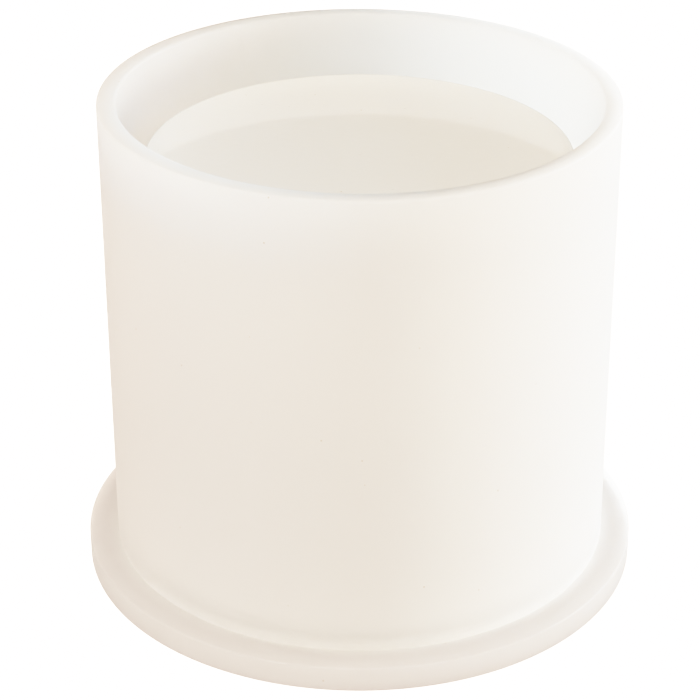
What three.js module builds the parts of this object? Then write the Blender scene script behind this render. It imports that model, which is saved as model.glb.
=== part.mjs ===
// A silicone mould for a round wax lantern, which is a cup as thin as the gap that it is cast in.
//
// The base is one rubber casting: a flat round foot, a low step that centres the sleeve, and a core
// that is hollow and open underneath, so that it can be squeezed from inside to free the wax. The
// sleeve is a plain tube that stands on the foot around the step and lifts straight off. Wax poured
// to the rim fills the ring between core and sleeve, which is the cup's wall, and the space over
// the core, which is the cup's floor.
//
// Millimetres, +Z up. The origin is the centre of the underside, on the surface the mould stands on.

import * as THREE from 'three';

// The wax cup that the mould casts.
const CUP_DIAMETER = 90;
const CUP_WALL = 5;
const CUP_FLOOR = 11;

// The sleeve.
const SLEEVE_WALL = 3.5;
const SLEEVE_HEIGHT = 90;
const RIM_ROUNDING = 0.5;
const SLEEVE_FOOT_ROUNDING = 0.3;

// The base.
const FOOT_THICKNESS = 5;
const FOOT_OVERHANG = 5.7;
const FOOT_TOP_ROUNDING = 0.8;
const UNDERSIDE_ROUNDING = 0.4;
const STEP_HEIGHT = 4;
const STEP_CLEARANCE = 0.15;
const STEP_ROUNDING = 0.3;
const CORE_WALL = 5;
const CORE_TOP_ROUNDING = 0.6;
const HOLLOW_ROUNDING = 4;

// How finely the round shapes are faceted: around the axis, and along each rounded edge.
const TURN_FACETS = 96;
const ROUNDING_FACETS = 2;

const SILICONE = { color: 0xf0eadf, roughness: 0.45, metalness: 0 };

const boreRadius = CUP_DIAMETER / 2;
const sleeveRadius = boreRadius + SLEEVE_WALL;
const footRadius = sleeveRadius + FOOT_OVERHANG;
const stepRadius = boreRadius - STEP_CLEARANCE;
const coreRadius = boreRadius - CUP_WALL;
const hollowRadius = coreRadius - CORE_WALL;

const rimTop = FOOT_THICKNESS + SLEEVE_HEIGHT;
const coreTop = rimTop - CUP_FLOOR;
const stepTop = FOOT_THICKNESS + STEP_HEIGHT;
const hollowTop = coreTop - CORE_WALL;

// Adds one corner to an outline, as an arc of the given rounding or as a sharp point.
function addCorner(outline, before, corner, after, rounding) {
  if (rounding === 0) {
    outline.lineTo(corner.x, corner.y);
    return;
  }
  const inward = corner.clone().sub(before).normalize();
  const onward = after.clone().sub(corner).normalize();
  const entry = corner.clone().addScaledVector(inward, -rounding);
  const exit = corner.clone().addScaledVector(onward, rounding);
  const centre = entry.clone().addScaledVector(onward, rounding);
  const startAngle = entry.clone().sub(centre).angle();
  const endAngle = exit.clone().sub(centre).angle();
  const turnsRight = inward.cross(onward) < 0;
  outline.lineTo(entry.x, entry.y);
  outline.absarc(centre.x, centre.y, rounding, startAngle, endAngle, turnsRight);
}

// The points of an outline given as [radius, height, rounding] corners, with the material on its
// left. It starts and ends at start, which is a sharp corner or a point along a straight side.
function outlinePoints(start, corners, end) {
  const stops = [start, ...corners, end].map(([radius, height]) => new THREE.Vector2(radius, height));
  const outline = new THREE.Path();
  outline.moveTo(stops[0].x, stops[0].y);
  corners.forEach(([, , rounding], i) => {
    addCorner(outline, stops[i], stops[i + 1], stops[i + 2], rounding);
  });
  outline.lineTo(stops.at(-1).x, stops.at(-1).y);
  return outline.getPoints(ROUNDING_FACETS / 2);
}

// One solid turned about +Z. An outline starts and ends on the axis or at one point of its own.
function turned(name, start, corners, end) {
  const geometry = new THREE.LatheGeometry(outlinePoints(start, corners, end), TURN_FACETS);
  geometry.rotateX(Math.PI / 2);
  const mesh = new THREE.Mesh(geometry, new THREE.MeshStandardMaterial(SILICONE));
  mesh.name = name;
  return mesh;
}

// The plain tube that makes the outside of the cup. Its outline starts halfway up the bore.
function outerSleeve() {
  const halfwayUpBore = [boreRadius, (FOOT_THICKNESS + rimTop) / 2];
  const corners = [
    [boreRadius, FOOT_THICKNESS, SLEEVE_FOOT_ROUNDING],
    [sleeveRadius, FOOT_THICKNESS, SLEEVE_FOOT_ROUNDING],
    [sleeveRadius, rimTop, RIM_ROUNDING],
    [boreRadius, rimTop, RIM_ROUNDING],
  ];
  return turned('outer_sleeve', halfwayUpBore, corners, halfwayUpBore);
}

// Foot, centring step and hollow core in one casting.
function coreBase() {
  const corners = [
    [hollowRadius, hollowTop, HOLLOW_ROUNDING],
    [hollowRadius, 0, UNDERSIDE_ROUNDING],
    [footRadius, 0, UNDERSIDE_ROUNDING],
    [footRadius, FOOT_THICKNESS, FOOT_TOP_ROUNDING],
    [stepRadius, FOOT_THICKNESS, 0],
    [stepRadius, stepTop, STEP_ROUNDING],
    [coreRadius, stepTop, 0],
    [coreRadius, coreTop, CORE_TOP_ROUNDING],
  ];
  return turned('core_base', [0, hollowTop], corners, [0, coreTop]);
}

const candleMould = new THREE.Group();
candleMould.add(coreBase(), outerSleeve());

export default candleMould;
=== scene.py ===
import math

import bpy
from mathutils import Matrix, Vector, noise


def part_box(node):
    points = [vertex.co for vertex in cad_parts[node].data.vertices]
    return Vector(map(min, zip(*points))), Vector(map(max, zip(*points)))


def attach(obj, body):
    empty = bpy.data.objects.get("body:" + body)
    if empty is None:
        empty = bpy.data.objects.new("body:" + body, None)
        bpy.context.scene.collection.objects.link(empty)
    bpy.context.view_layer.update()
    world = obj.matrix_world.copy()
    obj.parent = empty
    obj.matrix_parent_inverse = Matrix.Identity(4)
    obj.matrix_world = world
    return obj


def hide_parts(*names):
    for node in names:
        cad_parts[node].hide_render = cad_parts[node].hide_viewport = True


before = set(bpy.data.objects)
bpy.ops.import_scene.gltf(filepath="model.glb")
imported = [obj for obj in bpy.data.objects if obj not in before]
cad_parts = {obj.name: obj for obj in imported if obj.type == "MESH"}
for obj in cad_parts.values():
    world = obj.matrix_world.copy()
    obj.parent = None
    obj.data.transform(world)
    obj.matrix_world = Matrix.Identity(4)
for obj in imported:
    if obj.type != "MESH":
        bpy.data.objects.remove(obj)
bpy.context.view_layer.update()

MM = 0.001

# Sizes that the boxes of the nodes can't give.
SLEEVE_WALL = 3.5 * MM
CUP_WALL = 5.0 * MM
CORE_WALL = 5.0 * MM
STEP_HEIGHT = 4.0 * MM
STEP_CLEARANCE = 0.15 * MM

sleeve_low, sleeve_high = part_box("outer_sleeve")
base_low, base_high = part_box("core_base")
sleeve_radius = sleeve_high.x
bore_radius = sleeve_radius - SLEEVE_WALL
foot_top = sleeve_low.z
rim_top = sleeve_high.z
foot_radius = base_high.x
core_top = base_high.z
core_radius = bore_radius - CUP_WALL
hollow_radius = core_radius - CORE_WALL
hollow_top = core_top - CORE_WALL
step_radius = bore_radius - STEP_CLEARANCE
step_top = foot_top + STEP_HEIGHT

# How finely the pieces are meshed.
TURN_STEPS = 288
ARC_STEPS = 6
LONGEST_STEP = 2.5 * MM
SUPPORT = 0.25 * MM
NO_LENGTH = 1e-9

# Rounded edges, nearly sharp on the foot, and the gap that keeps touching faces apart.
RIM_ROUNDING = 0.5 * MM
SLEEVE_FOOT_ROUNDING = 0.08 * MM
CONTACT_GAP = 0.03 * MM
FOOT_TOP_ROUNDING = 0.25 * MM
UNDERSIDE_ROUNDING = 0.2 * MM
STEP_ROUNDING = 0.4 * MM
CORE_TOP_ROUNDING = 0.7 * MM
HOLLOW_ROUNDING = 4.0 * MM


def smooth_share(value):
    """0 below 0, 1 above 1 and a smooth rise between them."""
    held = min(1.0, max(0.0, value))
    return held * held * (3 - 2 * held)


def arc_points(before, corner, after, rounding):
    """The points of a rounded right-angled corner, with a support point just outside each end."""
    inward = (corner - before).normalized()
    onward = (after - corner).normalized()
    entry = corner - inward * rounding
    exit_point = corner + onward * rounding
    centre = entry + onward * rounding
    points = [entry - inward * SUPPORT]
    for step in range(ARC_STEPS + 1):
        turn = 0.5 * math.pi * step / ARC_STEPS
        points.append(centre - onward * rounding * math.cos(turn) + inward * rounding * math.sin(turn))
    points.append(exit_point + onward * SUPPORT)
    return points


def outline_points(start, corners, end):
    """An outline in the (radius, height) plane from (radius, height, rounding) corners."""
    stops = [Vector(stop[:2]) for stop in (start, *corners, end)]
    points = [stops[0]]
    for index, corner in enumerate(corners, start=1):
        points += arc_points(stops[index - 1], stops[index], stops[index + 1], corner[2])
    points.append(stops[-1])
    filled = [points[0]]
    for point in points[1:]:
        stretch = point - filled[-1]
        count = max(1, math.ceil(stretch.length / LONGEST_STEP))
        first = filled[-1]
        filled += [first + stretch * (step / count) for step in range(1, count + 1)]
    return filled


def turned_piece(name, outline, place):
    """A closed mesh turned about +Z. place(radius, height, angle) gives each point."""
    vertices = []
    rings = []
    closed = (outline[0] - outline[-1]).length < NO_LENGTH
    if closed:
        outline = outline[:-1]
    for point in outline:
        if point.x < NO_LENGTH:
            rings.append([len(vertices)])
            vertices.append(place(0.0, point.y, 0.0))
            continue
        ring = range(len(vertices), len(vertices) + TURN_STEPS)
        rings.append(list(ring))
        for step in range(TURN_STEPS):
            vertices.append(place(point.x, point.y, 2 * math.pi * step / TURN_STEPS))
    faces = []
    pairs = list(zip(rings, rings[1:]))
    if closed:
        pairs.append((rings[-1], rings[0]))
    for lower, upper in pairs:
        for step in range(TURN_STEPS):
            after = (step + 1) % TURN_STEPS
            if len(lower) == 1:
                faces.append((lower[0], upper[after], upper[step]))
            elif len(upper) == 1:
                faces.append((lower[step], lower[after], upper[0]))
            else:
                faces.append((lower[step], lower[after], upper[after], upper[step]))
    mesh = bpy.data.meshes.new(name)
    mesh.from_pydata(vertices, [], faces)
    mesh.shade_smooth()
    piece = bpy.data.objects.new(name, mesh)
    bpy.context.scene.collection.objects.link(piece)
    return piece


def on_circle(radius, height, angle):
    return Vector((radius * math.cos(angle), radius * math.sin(angle), height))


# ---------------------------------------------------------------- the sleeve

# The soft rim has gone a little out of round, and its bore isn't quite in the middle of the wall.
RIM_OVAL = 0.22 * MM
RIM_OVAL_ANGLE = math.radians(125)
RIM_TRILOBE = 0.10 * MM
RIM_TRILOBE_ANGLE = math.radians(150)
BORE_SHIFT = 0.15 * MM
RIM_DIP = 0.12 * MM
RIM_DIP_LENGTH = 50 * MM
SURFACE_WAVE = 0.05 * MM
WAVE_LENGTH = 14 * MM


def sleeve_place(radius, height, angle):
    """A point of the sleeve, more out of true the nearer it is to the rim."""
    share = smooth_share((height - step_top) / (rim_top - step_top))
    oval = RIM_OVAL * math.cos(2 * (angle - RIM_OVAL_ANGLE))
    trilobe = RIM_TRILOBE * math.cos(3 * (angle - RIM_TRILOBE_ANGLE))
    inside = smooth_share((sleeve_radius - radius) / SLEEVE_WALL)
    point = on_circle(radius + share * (oval + trilobe), height, angle)
    point.x += share * inside * BORE_SHIFT
    wave = noise.noise(point / WAVE_LENGTH)
    point += on_circle(1, 0, angle) * (share * SURFACE_WAVE * wave)
    turn = angle + 2 * noise.noise(point / RIM_DIP_LENGTH)
    point.z -= share * RIM_DIP * (0.5 + 0.5 * math.sin(turn))
    return point


def outer_sleeve():
    half_way = (bore_radius, (foot_top + rim_top) / 2)
    corners = [
        (bore_radius, foot_top + CONTACT_GAP, SLEEVE_FOOT_ROUNDING),
        (sleeve_radius, foot_top + CONTACT_GAP, SLEEVE_FOOT_ROUNDING),
        (sleeve_radius, rim_top, RIM_ROUNDING),
        (bore_radius, rim_top, RIM_ROUNDING),
    ]
    return turned_piece("sleeve_rubber", outline_points(half_way, corners, half_way), sleeve_place)


# ---------------------------------------------------------------- the base

# A slight dish in the core's glossy top, which moves the far rim's reflection back a little.
CORE_DISH = 0.3 * MM


def base_place(radius, height, angle):
    point = on_circle(radius, height, angle)
    if height > core_top - CORE_TOP_ROUNDING and radius < core_radius:
        point.z -= CORE_DISH * (1 - (radius / core_radius) ** 2)
    return point


def core_base():
    corners = [
        (hollow_radius, hollow_top, HOLLOW_ROUNDING),
        (hollow_radius, base_low.z, UNDERSIDE_ROUNDING),
        (foot_radius, base_low.z, UNDERSIDE_ROUNDING),
        (foot_radius, foot_top, FOOT_TOP_ROUNDING),
        (step_radius, foot_top, STEP_ROUNDING),
        (step_radius, step_top, STEP_ROUNDING),
        (core_radius, step_top, STEP_ROUNDING),
        (core_radius, core_top, CORE_TOP_ROUNDING),
    ]
    outline = outline_points((0, hollow_top), corners, (0, core_top))
    return turned_piece("base_rubber", outline, base_place)


# ---------------------------------------------------------------- materials

# How deep light scatters in the silicone. Light that scatters into the contact between the pieces
# would be lost, which it isn't in real silicone, so the depth is only CONTACT_DEPTH at the edge where
# the sleeve stands on the foot. From there it grows by SLEEVE_GROWTH or FOOT_GROWTH for each metre,
# up to the piece's own depth.
SLEEVE_DEPTH = 25 * MM
FOOT_DEPTH = 100 * MM
CORE_DEPTH = 6 * MM
CONTACT_DEPTH = 1 * MM
SLEEVE_GROWTH = 8
FOOT_GROWTH = 40

# Low down it is limited too, to FLOOR_DEPTH at the floor's level and FLOOR_GROWTH more for each metre.
FLOOR_DEPTH = 35 * MM
FLOOR_GROWTH = 20

# Light scatters a little deeper for red than for green and blue.
SCATTER_COLOUR = (1.0, 0.98, 0.95)
SILICONE_IOR = 1.41

# The roughness of each surface, at its smoothest and at its dullest.
SLEEVE_ROUGHNESS = (0.36, 0.56)
FOOT_ROUGHNESS = (0.30, 0.50)
CORE_ROUGHNESS = (0.02, 0.08)

# Milky silicone with faint clouds in it.
LIGHT_SILICONE = (0.985, 0.98, 0.965)
DARK_SILICONE = (0.975, 0.968, 0.95)
SPECK_COLOUR = (0.72, 0.65, 0.57)

# Pattern scales, in cycles per metre, their levels of detail, and the sizes of dust specks and of
# pits left by bubbles. DOT_CORE is the full-strength share of a dot's radius.
CLOUD_SCALE = 60
CLOUD_DETAIL = 3
SHEEN_SCALE = 45
SHEEN_DETAIL = 4
GRAIN_SCALE = 700
GRAIN_DETAIL = 2
DOT_CORE = 0.4
SPECK_SCALE = 170
SPECK_RADIUS = 0.24 * MM
PIT_SCALE = 190
PIT_RADIUS = 0.3 * MM
GRAIN_HEIGHT = 0.02 * MM
PIT_DEPTH = 0.06 * MM


def new_material(name):
    material = bpy.data.materials.new(name)
    material.use_nodes = True
    nodes = material.node_tree.nodes
    return material, nodes, material.node_tree.links, nodes["Principled BSDF"]


def calculate(nodes, links, operation, first, second=0.0):
    node = nodes.new("ShaderNodeMath")
    node.operation = operation
    for socket, value in zip(node.inputs, (first, second)):
        if isinstance(value, (int, float)):
            socket.default_value = value
        else:
            links.new(value, socket)
    return node.outputs["Value"]


def scaled_noise(nodes, links, position, scale, detail):
    pattern = nodes.new("ShaderNodeTexNoise")
    pattern.inputs["Scale"].default_value = scale
    pattern.inputs["Detail"].default_value = detail
    links.new(position, pattern.inputs["Vector"])
    return pattern.outputs["Fac"]


def scattered_dots(nodes, links, position, scale, radius):
    """1 within a radius of scattered points and 0 elsewhere, with a soft edge."""
    pattern = nodes.new("ShaderNodeTexVoronoi")
    pattern.inputs["Scale"].default_value = scale
    links.new(position, pattern.inputs["Vector"])
    edge = nodes.new("ShaderNodeMapRange")
    edge.interpolation_type = "SMOOTHSTEP"
    edge.inputs["From Min"].default_value = radius * scale
    edge.inputs["From Max"].default_value = DOT_CORE * radius * scale
    links.new(pattern.outputs["Distance"], edge.inputs["Value"])
    return edge.outputs["Result"]


def blended(nodes, links, share, first, second):
    mix = nodes.new("ShaderNodeMix")
    mix.data_type = "RGBA"
    links.new(share, mix.inputs["Factor"])
    for name, value in (("A", first), ("B", second)):
        if isinstance(value, tuple):
            mix.inputs[name].default_value = (*value, 1)
        else:
            links.new(value, mix.inputs[name])
    return mix.outputs["Result"]


def growing(nodes, links, distance, growth, start):
    """start + growth * distance"""
    return calculate(nodes, links, "ADD", calculate(nodes, links, "MULTIPLY", distance, growth), start)


def scatter_depth(nodes, links, position, depth, growth):
    """The depth at a point, from its distance to the sleeve's lower outer edge and from its height."""
    parts = nodes.new("ShaderNodeSeparateXYZ")
    links.new(position, parts.inputs["Vector"])
    across = calculate(nodes, links, "MULTIPLY", parts.outputs["X"], parts.outputs["X"])
    along = calculate(nodes, links, "MULTIPLY", parts.outputs["Y"], parts.outputs["Y"])
    radius = calculate(nodes, links, "SQRT", calculate(nodes, links, "ADD", across, along))
    outward = calculate(nodes, links, "SUBTRACT", radius, sleeve_radius)
    upward = calculate(nodes, links, "SUBTRACT", parts.outputs["Z"], foot_top)
    outward = calculate(nodes, links, "MULTIPLY", outward, outward)
    upward = calculate(nodes, links, "MULTIPLY", upward, upward)
    distance = calculate(nodes, links, "SQRT", calculate(nodes, links, "ADD", outward, upward))
    by_contact = growing(nodes, links, distance, growth, CONTACT_DEPTH)
    by_height = growing(nodes, links, parts.outputs["Z"], FLOOR_GROWTH, FLOOR_DEPTH)
    limited = calculate(nodes, links, "MINIMUM", by_contact, depth)
    return calculate(nodes, links, "MINIMUM", by_height, limited)


def surface_relief(nodes, links, position):
    """A very fine grain, and the small pits that bubbles leave."""
    grain = nodes.new("ShaderNodeBump")
    grain.inputs["Strength"].default_value = 1.0
    grain.inputs["Distance"].default_value = GRAIN_HEIGHT
    links.new(scaled_noise(nodes, links, position, GRAIN_SCALE, GRAIN_DETAIL), grain.inputs["Height"])
    pits = nodes.new("ShaderNodeBump")
    pits.invert = True
    pits.inputs["Strength"].default_value = 1.0
    pits.inputs["Distance"].default_value = PIT_DEPTH
    links.new(scattered_dots(nodes, links, position, PIT_SCALE, PIT_RADIUS), pits.inputs["Height"])
    links.new(grain.outputs["Normal"], pits.inputs["Normal"])
    return pits.outputs["Normal"]


def silicone(name, depth, growth, roughness):
    """Milky silicone, with its roughness between the two values given."""
    material, nodes, links, shader = new_material(name)
    position = nodes.new("ShaderNodeTexCoord").outputs["Object"]
    clouds = scaled_noise(nodes, links, position, CLOUD_SCALE, CLOUD_DETAIL)
    milk = blended(nodes, links, clouds, LIGHT_SILICONE, DARK_SILICONE)
    specks = scattered_dots(nodes, links, position, SPECK_SCALE, SPECK_RADIUS)
    links.new(blended(nodes, links, specks, milk, SPECK_COLOUR), shader.inputs["Base Color"])
    sheen = scaled_noise(nodes, links, position, SHEEN_SCALE, SHEEN_DETAIL)
    smooth, dull = roughness
    spread = calculate(nodes, links, "MULTIPLY", sheen, dull - smooth)
    links.new(calculate(nodes, links, "ADD", spread, smooth), shader.inputs["Roughness"])
    links.new(surface_relief(nodes, links, position), shader.inputs["Normal"])
    shader.inputs["IOR"].default_value = SILICONE_IOR
    shader.inputs["Subsurface Weight"].default_value = 1.0
    shader.inputs["Subsurface Radius"].default_value = SCATTER_COLOUR
    links.new(scatter_depth(nodes, links, position, depth, growth), shader.inputs["Subsurface Scale"])
    return material


# ---------------------------------------------------------------- floor, light and camera

# A wide floor just under the foot, which glows in a pale warm colour. WHITE is the strength of the
# floor and the backdrop for the camera's own rays.
FLOOR_REACH = 3.0
FLOOR_DROP = 0.1 * MM
FLOOR_GREY = 0.4
FLOOR_ROUGHNESS = 0.6
FLOOR_GLOW = 0.68
FLOOR_COLOUR = (1.0, 0.78, 0.65)
WHITE = 9.0


def glow(nodes, links, socket, strength):
    """A strength for everything but the camera's own rays, which see plain white."""
    ray = nodes.new("ShaderNodeLightPath").outputs["Is Camera Ray"]
    extra = calculate(nodes, links, "MULTIPLY", ray, WHITE - strength)
    links.new(calculate(nodes, links, "ADD", extra, strength), socket)


def floor():
    corners = [(-1, -1), (1, -1), (1, 1), (-1, 1)]
    mesh = bpy.data.meshes.new("floor")
    points = [(x * FLOOR_REACH, y * FLOOR_REACH, -FLOOR_DROP) for x, y in corners]
    mesh.from_pydata(points, [], [(0, 1, 2, 3)])
    piece = bpy.data.objects.new("floor", mesh)
    bpy.context.scene.collection.objects.link(piece)
    material, nodes, links, shader = new_material("floor")
    shader.inputs["Base Color"].default_value = (FLOOR_GREY, FLOOR_GREY, FLOOR_GREY, 1)
    shader.inputs["Roughness"].default_value = FLOOR_ROUGHNESS
    shader.inputs["Emission Color"].default_value = (*FLOOR_COLOUR, 1)
    glow(nodes, links, shader.inputs["Emission Strength"], FLOOR_GLOW)
    mesh.materials.append(material)
    return piece


def backdrop():
    world = bpy.data.worlds.new("studio")
    world.use_nodes = True
    nodes = world.node_tree.nodes
    nodes["Background"].inputs["Color"].default_value = (1, 1, 1, 1)
    glow(nodes, world.node_tree.links, nodes["Background"].inputs["Strength"], 0)
    bpy.context.scene.world = world


def area_light(name, azimuth, elevation, distance, size, watts, colour):
    """A square lamp aimed at the object. Azimuth 0 is its right, 90 its back and 270 its front."""
    aim = Vector((0, 0, rim_top / 2))
    direction = on_circle(math.cos(elevation), math.sin(elevation), azimuth)
    data = bpy.data.lights.new(name, "AREA")
    data.shape = "SQUARE"
    data.size = size
    data.energy = watts
    data.color = colour
    light = bpy.data.objects.new(name, data)
    light.location = aim + direction * distance
    light.rotation_euler = direction.to_track_quat("Z", "Y").to_euler()
    bpy.context.scene.collection.objects.link(light)


LAMP_DISTANCE = 0.9
LOW_LAMP = 0.12
LARGE_LAMP = 0.3

# A light tent with its bright side on the right: name, azimuth and elevation in degrees, size, watts
# and colour.
LAMPS = [
    ("right", 0, 4, LOW_LAMP, 16.5, (1.00, 1.00, 0.89)),
    ("window", 20, 12, LARGE_LAMP, 7.5, (0.28, 0.63, 1.00)),
    ("back right", 45, 4, LOW_LAMP, 5.5, (1.00, 1.00, 0.90)),
    ("left", 192, 4, LOW_LAMP, 11.0, (1.00, 0.77, 0.61)),
    ("front right", 315, 4, LOW_LAMP, 7.5, (1.00, 0.68, 0.46)),
    ("front", 270, 35, LARGE_LAMP, 11.5, (1.00, 0.92, 0.76)),
    ("top", 0, 89, LARGE_LAMP, 8.5, (1.00, 0.83, 0.63)),
]


def lights():
    for name, azimuth, elevation, size, watts, colour in LAMPS:
        turn = math.radians(azimuth)
        rise = math.radians(elevation)
        area_light(name, turn, rise, LAMP_DISTANCE, size, watts, colour)


# The brightest light that the tone curve tells apart, the number of its points, and the place among
# the view's curves of the one for all three colours.
CURVE_TOP = 8.0
CURVE_POINTS = 16
SHARED_CURVE = 3


def tone_curve():
    """A soft roll-off to white, as on film: what is shown is 1 - exp(-light)."""
    view = bpy.context.scene.view_settings
    view.view_transform = "Standard"
    view.use_curve_mapping = True
    view.curve_mapping.white_level = (CURVE_TOP, CURVE_TOP, CURVE_TOP)
    curve = view.curve_mapping.curves[SHARED_CURVE]
    for step in range(1, CURVE_POINTS):
        share = (step / CURVE_POINTS) ** 2
        curve.points.new(share, 1 - math.exp(-CURVE_TOP * share))
    view.curve_mapping.update()


# The camera's place, in sleeve radii from the axis and above the rim, its tilt below level, its lens
# and sensor in millimetres, its sideways shift, and how near it still sees.
CAMERA_BACK = 8.154
CAMERA_RISE = 3.162
CAMERA_TILT = math.radians(27.565)
CAMERA_LENS = 117.8
CAMERA_SENSOR = 36
CAMERA_SHIFT = -0.0137
CAMERA_NEAREST = 0.01


def camera():
    data = bpy.data.cameras.new("camera")
    data.lens = CAMERA_LENS
    data.sensor_width = CAMERA_SENSOR
    data.shift_x = CAMERA_SHIFT
    data.clip_start = CAMERA_NEAREST
    eye = bpy.data.objects.new("camera", data)
    eye.location = (0, -CAMERA_BACK * sleeve_radius, rim_top + CAMERA_RISE * sleeve_radius)
    eye.rotation_euler = (math.pi / 2 - CAMERA_TILT, 0, 0)
    bpy.context.scene.collection.objects.link(eye)
    bpy.context.scene.camera = eye


# ---------------------------------------------------------------- the scene

# Light crosses the milky cup many times.
DIFFUSE_BOUNCES = 12
ALL_BOUNCES = 16

camera()
sleeve = outer_sleeve()
base = core_base()
sleeve.data.materials.append(silicone("sleeve silicone", SLEEVE_DEPTH, SLEEVE_GROWTH, SLEEVE_ROUGHNESS))
base.data.materials.append(silicone("foot silicone", FOOT_DEPTH, FOOT_GROWTH, FOOT_ROUGHNESS))
base.data.materials.append(silicone("core silicone", CORE_DEPTH, FOOT_GROWTH, CORE_ROUGHNESS))
for face in base.data.polygons:
    if face.center.z > step_top:
        face.material_index = 1
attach(sleeve, "sleeve")
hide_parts("outer_sleeve")
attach(base, "base")
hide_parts("core_base")
floor()
backdrop()
lights()
tone_curve()
bpy.context.scene.cycles.diffuse_bounces = DIFFUSE_BOUNCES
bpy.context.scene.cycles.max_bounces = ALL_BOUNCES
